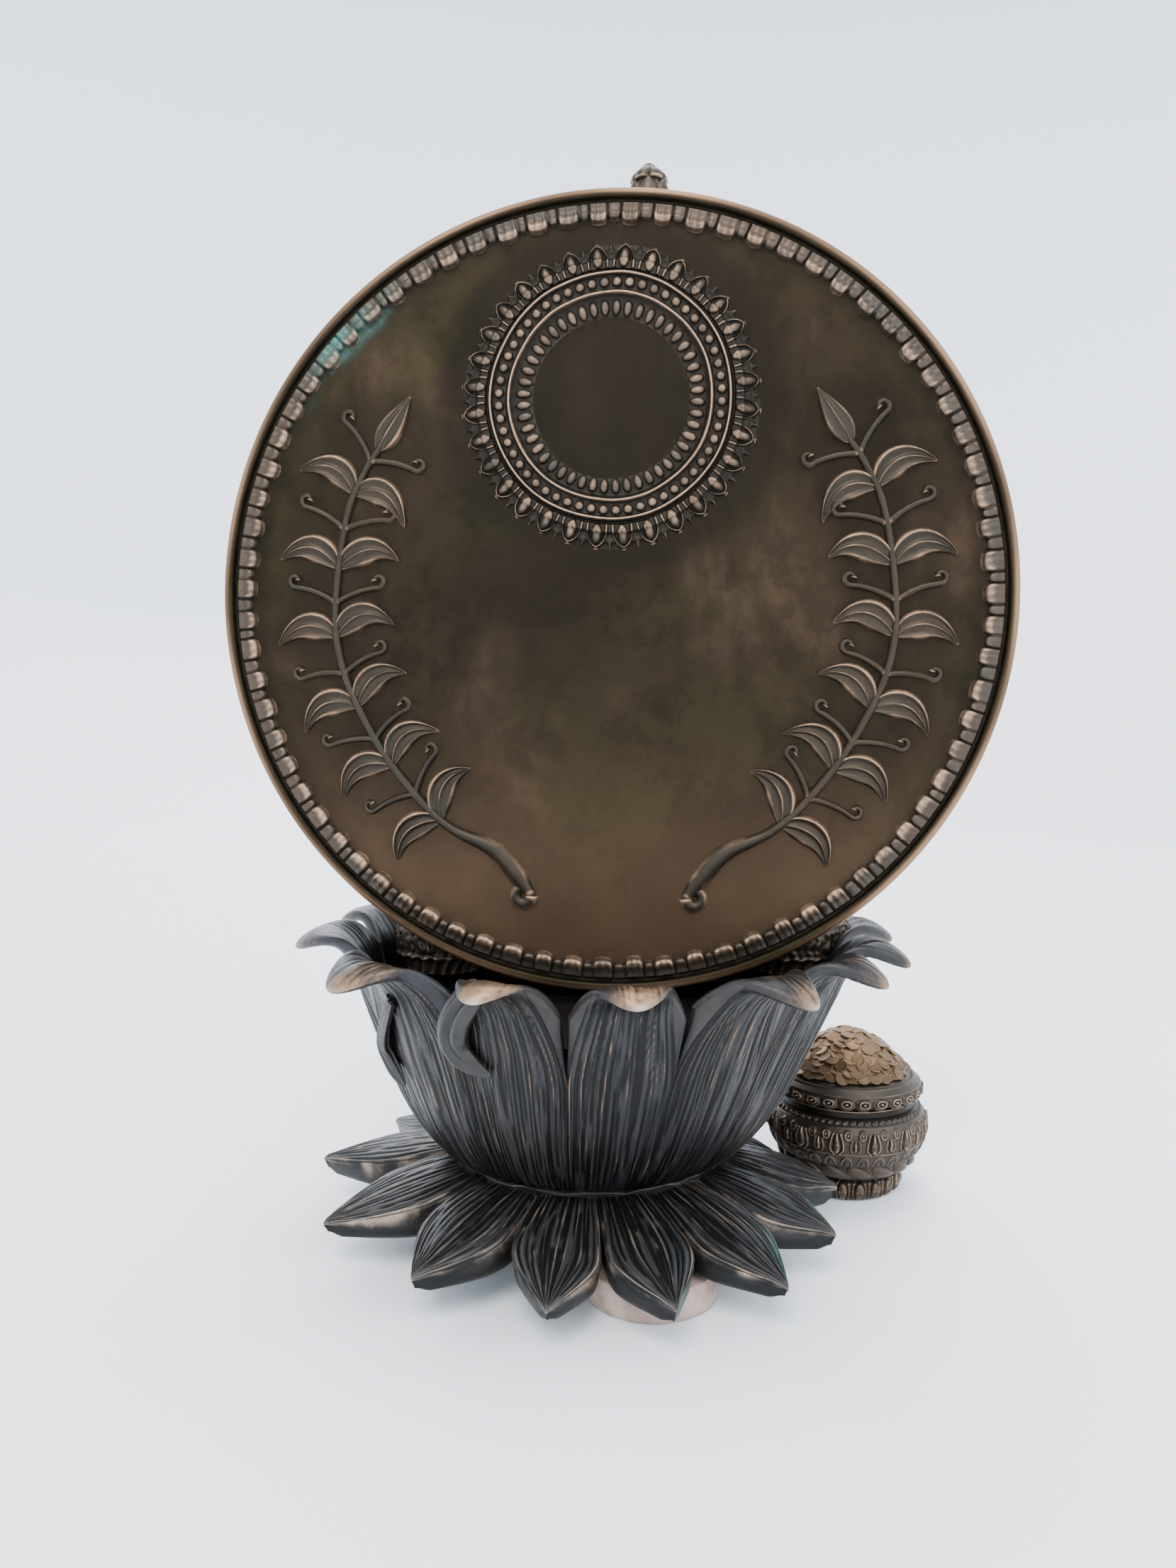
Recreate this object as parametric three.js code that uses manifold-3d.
// Lotus-throne figure group: a seated figure on a lotus bowl, backed by a large round halo disc, with a
// coin-filled pot beside it. Millimetres, +Z up. The ground is z = 0 and the halo is centred on x = 0. The
// halo's ornamented back faces -Y and the figure faces +Y. The lotus stands a little to one side of the
// halo's centre. Azimuths are about the lotus axis, in degrees, 0 towards -Y, positive towards +X.

import * as THREE from "three";
import { mergeVertices } from "three/addons/utils/BufferGeometryUtils.js";
import Module from "manifold-3d";

const wasm = await Module();
wasm.setup();

// ---- Driving dimensions ----

const GAP = 0.3; // space between touching pieces
const DEG = Math.PI / 180;

// Foot of the lotus axis, and how far the bowl leans away from it for each millimetre of height.
const LOTUS = { x: -4.1, y: 2, leanX: 0.051, leanY: -0.049 };

const FOOT = { radius: 12, height: 6, reach: 32.2, azimuths: [26, 146, 266] };

const BASE = {
  underside: FOOT.height + GAP,
  rootX: 26.6,
  rootTop: 16,
  tipTop: 9.6,
  widestX: 36,
  halfWidth: 9.6,
  azimuths: [-1, 19, 42, 64.5, 88.5, 114, 139.5, 165, 190, 215.5, 241, 267, 300.5, 332],
  reaches: [55, 56.5, 57, 52.7, 50, 42, 51, 53, 53, 54, 55, 57, 54.5, 53.5],
};

const BOWL = {
  bottom: BASE.rootTop + GAP,
  wall: 3.2,
  tipWall: 1.9,
  bulge: 1.6,
  seatTop: 47.7,
  notchDrop: 0.28,
  azimuths: [-103, -80, -36, -12, 10, 35, 57, 76, 100, 130, 160, 190, 223],
};

// Outside of a bowl petal along its middle, from the root up and over the rolled tip: radius, height.
const BOWL_PROFILE = new THREE.CatmullRomCurve3(
  [
    [26.4, BOWL.bottom], [31.4, 19.5], [35.4, 24.3], [38.8, 30.2], [41.8, 37],
    [44.6, 44], [47.4, 50.5], [50.6, 55.8], [55, 58.2], [59.6, 55.8],
  ].map(([r, z]) => new THREE.Vector3(r, z, 0)),
);

const HALO_RADIUS = 76.9;
const HALO = {
  radius: HALO_RADIUS,
  centreZ: BOWL.seatTop + GAP + HALO_RADIUS + 1,
  backY: -4,
  frontY: 0.8,
  lip: 1.4,
  bandInner: 70,
  bandOuter: 74.4,
  tabs: 75,
  segments: 48,
};

const MEDALLION = { rise: 38, radius: 29, field: 15.2 };

const FIGURE = { x: 6.3, y: 16, lapTop: 65, shoulderZ: 128, neckTop: 132, browZ: 160, crownTop: 213.4 };

const POT = { x: 50.6, y: 26.8, neckTop: 20.6, rimTop: 26, top: 34.8 };

const HUB_PEG = { radius: 4, to: 24 };
const PIN = { radius: 2, bore: 2 + GAP };
const PIN_LOW = { x: 8, z: 58 };
const PIN_HIGH = { x: FIGURE.x, z: 112 };
const PEG = { x: 2, y: 18, from: 42, to: 58 };

// ---- Materials ----

const material = (color, roughness, metalness) =>
  new THREE.MeshStandardMaterial({ color, roughness, metalness });

const MATERIALS = {
  gunmetal: () => material(0x45484c, 0.5, 0.6),
  slate: () => material(0x3c4149, 0.45, 0.6),
  plateBronze: () => material(0x4e4132, 0.5, 0.65),
  reliefBronze: () => material(0x6b543f, 0.45, 0.7),
  figureBronze: () => material(0x5a4a3a, 0.5, 0.6),
  coinGold: () => material(0x8a6a45, 0.4, 0.75),
  resin: () => material(0xb89f8c, 0.85, 0),
  steel: () => material(0x8c8f92, 0.35, 0.9),
};

// ---- Shape helpers ----

// Closed solid from rings of points that all have the same even number of points. Ring ends are capped by
// a strip from side to side; a looped solid joins its last ring to its first one.
function loft(rings, looped = false) {
  const size = rings[0].length;
  const positions = rings.flat(2);
  const index = [];
  const spans = looped ? rings.length : rings.length - 1;
  for (let i = 0; i < spans; i += 1) {
    const here = i * size;
    const next = ((i + 1) % rings.length) * size;
    for (let k = 0; k < size; k += 1) {
      const l = (k + 1) % size;
      index.push(here + k, here + l, next + l, here + k, next + l, next + k);
    }
  }
  if (!looped) {
    const last = (rings.length - 1) * size;
    for (let k = 0; k < size / 2 - 1; k += 1) {
      const [a, b, c, d] = [k, k + 1, size - 2 - k, size - 1 - k];
      index.push(a, c, b, a, d, c);
      index.push(last + a, last + b, last + c, last + a, last + c, last + d);
    }
  }
  return facingOut(positions, index);
}

// Geometry from positions and triangles, turned so that its faces point out.
function facingOut(positions, index) {
  let volume = 0;
  const [a, b, c] = [new THREE.Vector3(), new THREE.Vector3(), new THREE.Vector3()];
  for (let i = 0; i < index.length; i += 3) {
    a.fromArray(positions, index[i] * 3);
    b.fromArray(positions, index[i + 1] * 3);
    c.fromArray(positions, index[i + 2] * 3);
    volume += a.dot(b.cross(c));
  }
  const geometry = new THREE.BufferGeometry();
  geometry.setAttribute("position", new THREE.Float32BufferAttribute(positions, 3));
  geometry.setIndex(volume < 0 ? index.slice().reverse() : index);
  return geometry;
}

// Solid of revolution about +Z from [radius, z] points that start and end on the axis.
function turned(profile, segments, startAzimuth = 0) {
  const points = profile.map(([r, z]) => new THREE.Vector2(r, z));
  return new THREE.LatheGeometry(points, segments, startAzimuth * DEG).rotateX(Math.PI / 2);
}

// Solid of revolution about the Y axis from [radius, y] points.
function turnedAboutY(profile, segments) {
  const geometry = new THREE.LatheGeometry(profile.map(([r, y]) => new THREE.Vector2(r, y)), segments);
  return facingOut(Array.from(geometry.attributes.position.array), Array.from(geometry.index.array));
}

// Ring of points on a level ellipse.
function levelRing(x, y, z, rx, ry, count = 14) {
  return Array.from({ length: count }, (_, k) => {
    const angle = (2 * Math.PI * (k + 0.5)) / count;
    return [x + rx * Math.cos(angle), y + ry * Math.sin(angle), z];
  });
}

// Solid through level ellipses, each given as [z, x, y, rx, ry].
function stacked(levels, count) {
  return loft(levels.map(([z, x, y, rx, ry]) => levelRing(x, y, z, rx, ry, count)));
}

// Solid along a list of points, with half a width at each one and half a depth towards the up direction.
function limb(points, widths, depths = widths, up = [0, 0, 1], count = 8) {
  const path = points.map((p) => new THREE.Vector3(...p));
  const rings = path.map((centre, i) => {
    const before = path[Math.max(i - 1, 0)];
    const after = path[Math.min(i + 1, path.length - 1)];
    const along = after.clone().sub(before).normalize();
    const side = new THREE.Vector3().crossVectors(along, new THREE.Vector3(...up)).normalize();
    const over = new THREE.Vector3().crossVectors(side, along);
    return Array.from({ length: count }, (_, k) => {
      const angle = (2 * Math.PI * (k + 0.5)) / count;
      const point = centre.clone();
      point.addScaledVector(side, widths[i] * Math.cos(angle));
      point.addScaledVector(over, depths[i] * Math.sin(angle));
      return point.toArray();
    });
  });
  return loft(rings);
}

function toManifold(geometry) {
  const bare = geometry.clone();
  bare.deleteAttribute("normal");
  bare.deleteAttribute("uv");
  const merged = mergeVertices(bare, 1e-4);
  const mesh = new wasm.Mesh({
    numProp: 3,
    vertProperties: new Float32Array(merged.attributes.position.array),
    triVerts: new Uint32Array(merged.index.array),
  });
  return new wasm.Manifold(mesh);
}

function fromManifold(solid) {
  const { vertProperties, triVerts } = solid.getMesh();
  const geometry = new THREE.BufferGeometry();
  geometry.setAttribute("position", new THREE.BufferAttribute(vertProperties, 3));
  geometry.setIndex(new THREE.BufferAttribute(triVerts, 1));
  return geometry;
}

function cut(geometry, ...cutters) {
  return fromManifold(cutters.reduce((rest, tool) => rest.subtract(toManifold(tool)), toManifold(geometry)));
}

function joined(pieces) {
  const [first, ...others] = pieces.map(toManifold);
  return fromManifold(others.reduce((whole, piece) => whole.add(piece), first));
}

// Round bar along +Y or +Z between two coordinates on its own axis.
function bar(axis, radius, x, other, from, to) {
  const geometry = new THREE.CylinderGeometry(radius, radius, to - from, 16);
  if (axis === "z") {
    return geometry.rotateX(Math.PI / 2).translate(x, other, (from + to) / 2);
  }
  return geometry.translate(x, (from + to) / 2, other);
}

const model = new THREE.Group();

function add(name, geometry, finish) {
  const mesh = new THREE.Mesh(geometry, finish);
  mesh.name = name;
  model.add(mesh);
  return mesh;
}

// Adds a piece that is built about the lotus axis, turned to an azimuth if one is given.
function addToLotus(name, geometry, finish, azimuth = 90) {
  const mesh = add(name, geometry, finish);
  mesh.position.set(LOTUS.x, LOTUS.y, 0);
  mesh.rotation.z = (azimuth - 90) * DEG;
  return mesh;
}

// Turns a piece of the bowl to its azimuth and leans it with the bowl.
function leaned(geometry, azimuth = 90) {
  const { leanX, leanY } = LOTUS;
  const lean = new THREE.Matrix4().set(
    1, 0, leanX, -leanX * BOWL.bottom,
    0, 1, leanY, -leanY * BOWL.bottom,
    0, 0, 1, 0,
    0, 0, 0, 1,
  );
  return geometry.rotateZ((azimuth - 90) * DEG).applyMatrix4(lean);
}

// Half of the angle to the neighbour before and to the neighbour after, in a ring of azimuths.
function halfAngles(azimuths, i) {
  const count = azimuths.length;
  const before = azimuths[(i + count - 1) % count] - (i === 0 ? 360 : 0);
  const after = azimuths[(i + 1) % count] + (i === count - 1 ? 360 : 0);
  return [(azimuths[i] - before) / 2, (after - azimuths[i]) / 2];
}

const numbered = (name, index) => `${name}_${String(index + 1).padStart(2, "0")}`;

// ---- Feet and base ring ----

function footGeometry() {
  const { radius, height } = FOOT;
  return turned([[0, 0], [radius - 0.6, 0], [radius, 0.6], [radius, height - 0.4], [0, height - 0.4]], 24);
}

function hubGeometry() {
  const radius = BASE.rootX - GAP;
  const { underside, rootTop } = BASE;
  const profile = [[0, underside], [radius, underside], [radius, rootTop - 0.2], [0, rootTop]];
  return turned(profile, 28);
}

// Half width of a base petal at a distance from the axis: a wedge that meets its neighbour, then an ogive.
function baseHalfWidth(x, reach, halfAngle) {
  const wedge = x * Math.tan(halfAngle * DEG) - GAP / 2 / Math.cos(halfAngle * DEG);
  const t = Math.max(0, (x - BASE.widestX) / (reach - BASE.widestX));
  const ogive = BASE.halfWidth * Math.cos((Math.min(t, 0.97) * Math.PI) / 2) ** 0.9;
  return Math.min(wedge, ogive);
}

function basePetalGeometry(reach, halves) {
  const stations = [0, 0.16, 0.32, 0.48, 0.62, 0.74, 0.85, 0.94, 1];
  const across = [-1, -0.6, 0, 0.6, 1];
  const rings = stations.map((t) => {
    const x = BASE.rootX + (reach - BASE.rootX) * t;
    const width = halves.map((halfAngle) => baseHalfWidth(x, reach, halfAngle));
    const side = (v) => v * (v < 0 ? width[0] : width[1]);
    const ridge = BASE.rootTop + (BASE.tipTop - BASE.rootTop) * t ** 1.2;
    const crown = 1.3 * Math.sin(Math.PI * Math.min(1, t * 1.05)) ** 0.5;
    const top = across.map((v) => [x, side(v), ridge - crown * v * v]);
    const foot = across.map((v) => [x - 1.2 * t, side(-v) * (1 - 0.3 * t), BASE.underside]);
    return [...top, ...foot];
  });
  return loft(rings);
}

// ---- Lotus bowl ----

// Point on a bowl petal's outside or, with depth, inside it; v runs -1 to 1 across its two half angles.
function bowlPoint(u, v, halves, depth) {
  const s = u * (1 - BOWL.notchDrop * Math.abs(v) ** 1.7);
  const point = BOWL_PROFILE.getPoint(s);
  const along = BOWL_PROFILE.getTangent(s);
  const bulge = BOWL.bulge * v * v * Math.sin(Math.PI * Math.min(1, s * 1.2)) ** 0.7;
  const radius = point.x - along.y * depth - bulge;
  const height = point.y + along.x * depth;
  const half = v < 0 ? halves[0] : halves[1];
  const angle = v * (half * DEG - (GAP * 0.7) / radius);
  return [radius * Math.cos(angle), radius * Math.sin(angle), height];
}

function bowlPetalGeometry(halves) {
  const footCut = ([x, y, z]) => [x, y, Math.max(z, BOWL.bottom)];
  const stations = [0, 0.1, 0.25, 0.4, 0.55, 0.68, 0.79, 0.87, 0.94, 1];
  const across = [-1, -0.66, -0.33, 0, 0.33, 0.66, 1];
  const rings = stations.map((u) => {
    const wall = BOWL.wall + (BOWL.tipWall - BOWL.wall) * u;
    const outside = across.map((v) => bowlPoint(u, v, halves, 0));
    const inside = across.map((v) => bowlPoint(u, -v, halves, wall));
    return [...outside.map(footCut), ...inside.map(footCut)];
  });
  return loft(rings);
}

function bowlCoreGeometry() {
  const inset = BOWL.wall + BOWL.bulge + GAP;
  const side = [];
  for (let s = 0; s <= 1; s += 0.1) {
    const point = BOWL_PROFILE.getPoint(s);
    const along = BOWL_PROFILE.getTangent(s);
    const height = point.y + along.x * inset;
    if (height > BOWL.bottom + 3 && height < BOWL.seatTop - 1.5) {
      side.push([point.x - along.y * inset, height]);
    }
  }
  const [lowest] = side[0];
  const [highest] = side[side.length - 1];
  const bottom = [lowest - 3, BOWL.bottom];
  const top = [highest + 0.6, BOWL.seatTop];
  return turned([[0, BOWL.bottom], bottom, ...side, top, [0, BOWL.seatTop]], 24);
}

// ---- Halo disc ----

function plateGeometry() {
  const { radius, backY, frontY, lip } = HALO;
  const profile = [
    [0, backY], [radius - 2, backY], [radius - 1.7, backY - lip], [radius - 0.6, backY - lip],
    [radius, backY - lip + 0.7], [radius, frontY], [radius - 0.7, frontY + 0.8],
    [radius - 4, frontY + 0.8], [radius - 4.7, frontY], [0, frontY],
  ];
  return turnedAboutY(profile, HALO.segments).translate(0, 0, HALO.centreZ);
}

// Fluted band: the inner edge and the height swing between a tab and the narrow hollow beside it.
function bandGeometry() {
  const base = HALO.backY - GAP;
  const rings = Array.from({ length: HALO.tabs * 2 }, (_, k) => {
    const angle = (Math.PI * k) / HALO.tabs;
    const isTab = k % 2 === 0;
    const inner = HALO.bandInner + (isTab ? 0 : 0.9);
    const proud = isTab ? 1.5 : 0.8;
    const outer = HALO.bandOuter;
    const corners = [[inner, base], [outer, base], [outer, base - proud], [inner, base - proud]];
    return corners.map(([r, y]) => [r * Math.sin(angle), y, HALO.centreZ + r * Math.cos(angle)]);
  });
  return loft(rings, true);
}

function medallionGeometry() {
  const base = HALO.backY - GAP;
  const { radius, field } = MEDALLION;
  const profile = [
    [0, base], [radius, base], [radius, base - 0.8], [24, base - 1.3], [23.4, base - 2.2],
    [20.4, base - 1.7], [19.5, base - 2.3], [18.4, base - 1.7], [field + 0.3, base - 1.7],
    [field, base - 0.7], [0, base - 0.7],
  ];
  return turnedAboutY(profile, 36).translate(0, 0, HALO.centreZ + MEDALLION.rise);
}

// Stem of the left branch, seen from behind, from the bud down to the curled foot: x, height from centre.
const STEM = new THREE.CatmullRomCurve3(
  [
    [-44.6, 30.2], [-48.4, 24.4], [-52, 15.5], [-54.3, -2.1], [-52.6, -14.6], [-46.2, -27.9],
    [-38.8, -37.9], [-31.4, -44.8], [-21.9, -49.6], [-15.2, -58.1],
  ].map(([x, z]) => new THREE.Vector3(x, 0, z)),
);
const BRANCH = { sprigs: 12, height: 1.1, leafLength: 12, tendrilLength: 9, leafHalf: 2.8 };

// Blade or tendril that leaves the stem to one side and bends along it.
function sprigGeometry(t, side, length, half) {
  const root = STEM.getPointAt(t);
  const along = STEM.getTangentAt(t).negate();
  const out = new THREE.Vector3(side * -along.z, 0, side * along.x);
  const reach = [-0.06, 0.25, 0.55, 0.8, 1];
  const widths = [0.35, 0.9, 1, 0.6, 0.1];
  const centres = reach.map((k) => {
    const point = root.clone();
    point.addScaledVector(out, length * 0.92 * k);
    point.addScaledVector(along, length * (0.75 * k - 0.55 * k * k));
    point.y = HALO.backY - GAP - BRANCH.height / 2;
    return point.toArray();
  });
  const depths = widths.map((w) => (w * BRANCH.height) / 2);
  return limb(centres, widths.map((w) => w * half), depths, [0, 1, 0], 4);
}

function branchGeometry(mirror) {
  const level = HALO.backY - GAP - BRANCH.height / 2;
  const count = 13;
  const spine = Array.from({ length: count }, (_, k) => {
    const point = STEM.getPointAt(k / (count - 1));
    return [point.x, level, point.z];
  });
  const thick = spine.map((_, k) => (k < 2 ? 0.5 + k : 0.75 + 0.9 * (k / count) ** 3));
  const depths = thick.map(() => BRANCH.height / 2);
  const pieces = [limb(spine, thick, depths, [0, 1, 0], 6)];
  for (let k = 0; k < BRANCH.sprigs; k += 1) {
    const t = 0.13 + (0.68 * k) / (BRANCH.sprigs - 1);
    for (const side of [-1, 1]) {
      const isLeaf = k % 2 === 1;
      const length = isLeaf ? BRANCH.leafLength : BRANCH.tendrilLength;
      pieces.push(sprigGeometry(t, side, length, isLeaf ? BRANCH.leafHalf : 0.65));
    }
  }
  const left = joined(pieces);
  const placed = mirror ? mirrored(left) : left;
  return placed.translate(0, 0, HALO.centreZ);
}

// Mirror image across x = 0, with its triangles turned the other way to keep them facing out.
function mirrored(geometry) {
  const values = geometry.attributes.position.array;
  const positions = Array.from(values, (value, i) => (i % 3 === 0 ? -value : value));
  return facingOut(positions, Array.from(geometry.index.array));
}

// ---- Seated figure ----

function cushionGeometry() {
  return stacked([[48, -2, 20, 32, 15], [50, -2, 20, 34, 15.5], [52, -2, 20, 33, 15]], 20);
}

function legsGeometry() {
  const levels = [
    [52.3, -1, 20, 34, 15.5], [55, -1, 20.5, 38, 17.5], [58.5, -1, 21, 41, 18.5],
    [61.5, -0.5, 21, 38, 17.5], [FIGURE.lapTop - 1, 2, 20, 28, 14], [FIGURE.lapTop, 3, 18, 20, 10],
  ];
  return stacked(levels, 20);
}

function torsoGeometry() {
  const { x, y, lapTop, shoulderZ, neckTop } = FIGURE;
  const levels = [
    [lapTop + GAP, x, y, 16.5, 9.5], [74, x, y, 16, 9.5], [86, x, y, 11.5, 7.8], [100, x, y + 0.6, 13.5, 8.8],
    [112, x, y + 1, 15.5, 9.8], [122, x, y, 17.5, 8.4], [shoulderZ, x, y - 0.8, 19, 6.6],
    [neckTop - 1, x, y - 1, 9, 5.6], [neckTop, x, y - 1, 5.4, 5],
  ];
  return stacked(levels, 14);
}

function headGeometry() {
  const { x, y, neckTop, browZ } = FIGURE;
  const levels = [
    [neckTop + GAP, x, y - 1.4, 4.9, 4.8], [138, x, y - 1.6, 4.7, 4.8], [140, x, y, 5.2, 7.4],
    [144, x, y - 0.8, 7.8, 9.6], [150, x, y - 1.4, 9.8, 11], [156, x, y - 1.6, 10.2, 11.4],
    [browZ, x, y - 1.6, 9.9, 11],
  ];
  return stacked(levels, 14);
}

function crownBandGeometry() {
  const { x, y, browZ } = FIGURE;
  const levels = [
    [browZ + GAP, x, y - 1.6, 11, 11.8], [164, x, y - 1.7, 11.8, 12.3], [167, x, y - 1.7, 11.2, 11.8],
    [172, x, y - 2, 10, 10.4],
  ];
  return stacked(levels, 16);
}

function crownTiersGeometry() {
  const { x, y } = FIGURE;
  const levels = [
    [172.3, x, y - 2, 9.2, 9.6], [176, x, y - 2.2, 9.6, 9.8], [181, x, y - 2.5, 7.6, 8],
    [182, x, y - 2.6, 8.2, 8.4],
    [189, x, y - 3.2, 5.9, 6.2], [190, x, y - 3.3, 6.5, 6.6], [197, x, y - 4, 4, 4.2],
  ];
  return stacked(levels, 16);
}

function crownTipGeometry() {
  const { x, y, crownTop } = FIGURE;
  const levels = [
    [197.3, x, y - 4, 3, 3.2], [200, x, y - 4.4, 3.9, 3.9], [204, x, y - 4.8, 3.8, 3.8],
    [207.5, x, y - 5, 3.7, 3.7],
    [211, x, y - 5.2, 2.6, 2.6], [crownTop, x, y - 5.4, 0.9, 0.9],
  ];
  return stacked(levels, 12);
}

function addArm(label, side) {
  const shoulder = [FIGURE.x + side * 23, 15.5, 124];
  const elbow = [FIGURE.x + side * 29, 16, 92];
  const wrist = [FIGURE.x + side * 9.5, 35, 74.5];
  const between = (a, b, t) => a.map((value, i) => value + (b[i] - value) * t);
  const upper = [shoulder, between(shoulder, elbow, 0.45), between(shoulder, elbow, 0.9)];
  const lower = [between(elbow, wrist, 0.06), between(elbow, wrist, 0.4), wrist];
  const inward = (distance) => wrist[0] - side * distance;
  const palm = [[inward(1.2), 36, 71.4], [inward(6), 38, 69.6], [inward(12), 38.4, 69]];
  const lift = side > 0 ? 0 : 4.2;
  const hand = palm.map(([px, py, pz], i) => [px, py, pz + (i > 0 ? lift : lift / 2)]);
  const girth = [4.4, 4.2, 3.6];
  add(`upper_arm_${label}`, limb(upper, girth, girth, [0, 1, 0]), MATERIALS.figureBronze());
  add(`forearm_${label}`, limb(lower, [3.6, 3.4, 2.4]), MATERIALS.figureBronze());
  add(`hand_${label}`, limb(hand, [1.8, 2.6, 1.6], [1.2, 1.6, 1]), MATERIALS.figureBronze());
}

// Free end of the sash: a strip that follows the outside of the bowl, at an azimuth for each height.
function sashGeometry(route, halfWidth) {
  const rings = route.map(([s, azimuth, width], i) => {
    const point = BOWL_PROFILE.getPoint(s);
    const along = BOWL_PROFILE.getTangent(s);
    const lift = (depth) => [point.x + along.y * depth, point.y - along.x * depth];
    const spread = (halfWidth * width) / point.x;
    const corner = (depth, turn) => {
      const [r, z] = lift(depth);
      const angle = azimuth * DEG + turn * spread;
      return [r * Math.sin(angle), -r * Math.cos(angle), z];
    };
    const thick = i === 0 || i === route.length - 1 ? 1.1 : 1.7;
    return [corner(GAP + 0.2, -1), corner(GAP + 0.2, 0), corner(GAP + 0.2, 1),
      corner(thick - 0.3, 1), corner(thick, 0), corner(thick - 0.3, -1)];
  });
  return loft(rings);
}

// ---- Coin pot ----

function potGeometries() {
  const foot = [[0, 0], [10.4, 0], [11.8, 0.6], [12.2, 2.4], [11.9, 4.2], [10.8, 5], [0, 5]];
  const body = [
    [0, 5.3], [11.6, 5.3], [13.6, 5.8], [15.1, 7.6], [16.2, 9.4], [17.4, 11.4], [18, 14.6], [17.6, 16.9],
    [16.4, 18.2], [15.6, 19], [14.6, 19.3], [14.4, POT.neckTop], [0, POT.neckTop],
  ];
  const rim = [
    [0, POT.neckTop + GAP], [15.4, POT.neckTop + GAP], [16.3, 21.8], [16.6, 23], [16.1, 24.6], [14.9, 25.6],
    [13.9, POT.rimTop], [0, POT.rimTop],
  ];
  const heap = [
    [0, POT.rimTop + GAP], [13.3, POT.rimTop + GAP], [12.6, 27.8], [10.3, 30.4], [7.5, 32.2], [4.5, 33.8],
    [2.2, 34.6], [0, POT.top],
  ];
  return { foot, body, rim, heap };
}

// ---- Assembly ----

FOOT.azimuths.forEach((azimuth, i) => {
  const geometry = footGeometry().translate(FOOT.reach, 0, 0);
  addToLotus(numbered("foot", i), geometry, MATERIALS.resin(), azimuth);
});

const hubPegFrom = BASE.underside + 2;
const hubPegBore = bar("z", HUB_PEG.radius + GAP, 0, 0, hubPegFrom - GAP, HUB_PEG.to + GAP);
addToLotus("base_hub", cut(hubGeometry(), hubPegBore), MATERIALS.gunmetal());
addToLotus("hub_peg", bar("z", HUB_PEG.radius, 0, 0, hubPegFrom, HUB_PEG.to), MATERIALS.steel());

BASE.azimuths.forEach((azimuth, i) => {
  const geometry = basePetalGeometry(BASE.reaches[i], halfAngles(BASE.azimuths, i));
  addToLotus(numbered("base_petal", i), geometry, MATERIALS.gunmetal(), azimuth);
});

const pegBore = bar("z", PIN.bore, PEG.x, PEG.y, PEG.from - GAP, PEG.to + GAP);
const pegBoreInLotus = pegBore.clone().translate(-LOTUS.x, -LOTUS.y, 0);
addToLotus("bowl_core", cut(leaned(bowlCoreGeometry()), hubPegBore, pegBoreInLotus), MATERIALS.slate());
add("figure_peg", bar("z", PIN.radius, PEG.x, PEG.y, PEG.from, PEG.to), MATERIALS.steel());

BOWL.azimuths.forEach((azimuth, i) => {
  const geometry = leaned(bowlPetalGeometry(halfAngles(BOWL.azimuths, i)), azimuth);
  addToLotus(numbered("bowl_petal", i), geometry, MATERIALS.slate());
});

const lowPinBore = bar("y", PIN.bore, PIN_LOW.x, PIN_LOW.z, HALO.backY + 1.5, 9 + GAP);
const highPinBore = bar("y", PIN.bore, PIN_HIGH.x, PIN_HIGH.z, HALO.backY + 1.5, 12 + GAP);
add("halo_plate", cut(plateGeometry(), lowPinBore, highPinBore), MATERIALS.plateBronze());
add("halo_pin_lower", bar("y", PIN.radius, PIN_LOW.x, PIN_LOW.z, HALO.backY + 1.8, 9), MATERIALS.steel());
add("halo_pin_upper", bar("y", PIN.radius, PIN_HIGH.x, PIN_HIGH.z, HALO.backY + 1.8, 12), MATERIALS.steel());
add("halo_rim_band", bandGeometry(), MATERIALS.reliefBronze());
add("halo_medallion", medallionGeometry(), MATERIALS.reliefBronze());
add("halo_branch_left", branchGeometry(false), MATERIALS.reliefBronze());
add("halo_branch_right", branchGeometry(true), MATERIALS.reliefBronze());

add("seat_cushion", cut(cushionGeometry(), pegBore), MATERIALS.figureBronze());
add("crossed_legs", cut(legsGeometry(), pegBore, lowPinBore), MATERIALS.figureBronze());
add("torso", cut(torsoGeometry(), highPinBore), MATERIALS.figureBronze());
add("head", headGeometry(), MATERIALS.figureBronze());
add("crown_band", crownBandGeometry(), MATERIALS.reliefBronze());
add("crown_tiers", crownTiersGeometry(), MATERIALS.reliefBronze());
add("crown_tip", crownTipGeometry(), MATERIALS.reliefBronze());
addArm("left", 1);
addArm("right", -1);
const nearRoute = [
  [0.811, -21, 0.6], [0.73, -24.5, 0.9], [0.667, -25, 1], [0.6, -23, 0.9], [0.549, -17.5, 0.3],
];
const farRoute = [
  [0.738, -44, 0.6], [0.622, -49.5, 0.9], [0.558, -52, 1], [0.489, -52, 0.8], [0.431, -49.4, 0.3],
];
addToLotus("sash_end_near", leaned(sashGeometry(nearRoute, 2.4)), MATERIALS.figureBronze());
addToLotus("sash_end_far", leaned(sashGeometry(farRoute, 2)), MATERIALS.figureBronze());

const pot = potGeometries();
const potFinishes = { foot: "reliefBronze", body: "reliefBronze", rim: "reliefBronze", heap: "coinGold" };
for (const [part, finish] of Object.entries(potFinishes)) {
  const name = part === "heap" ? "coin_heap" : `pot_${part}`;
  add(name, turned(pot[part], 24), MATERIALS[finish]()).position.set(POT.x, POT.y, 0);
}

export default model;
